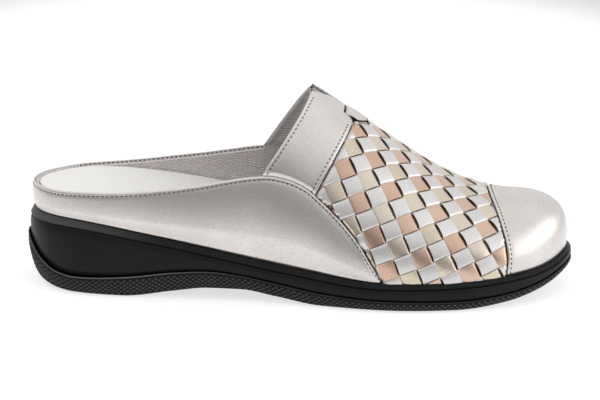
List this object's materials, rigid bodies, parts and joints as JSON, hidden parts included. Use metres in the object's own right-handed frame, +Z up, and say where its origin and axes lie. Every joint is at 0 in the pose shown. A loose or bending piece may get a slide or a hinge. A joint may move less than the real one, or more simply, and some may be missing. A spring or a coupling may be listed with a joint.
{
  "type": "woven clog",
  "caption": "Backless clog for the right foot with a wedge sole, a basket-weave forefoot, a leather toe cap, a low heel wrap and an instep band.",
  "frame": {"origin": "middle of the sole's plan outline, on the floor", "axes": "+X from heel to toe, +Y to the inner side of the foot, +Z up"},
  "size_m": [0.2641, 0.0967, 0.0973],
  "materials": {
    "outsole_rubber": "matte, knurled side band",
    "midsole_rubber": "satin",
    "footbed_fabric": "fine diagonal weave",
    "lining_fabric": "knitted mesh",
    "silver_leather": "metallic, soft gloss",
    "woven_leather": "metallic strips in silver, pale gold and rose",
    "elastic": "ribbed"
  },
  "bodies": {
    "root": {"outsole": "outsole_rubber", "midsole": "midsole_rubber", "insole": "footbed_fabric", "upper": "lining_fabric", "quarter": "silver_leather", "instep_band": "silver_leather", "toe_cap": "silver_leather", "instep_tab": "silver_leather", "woven_vamp": "woven_leather", "gore": "elastic"}
  },
  "joints": []
}
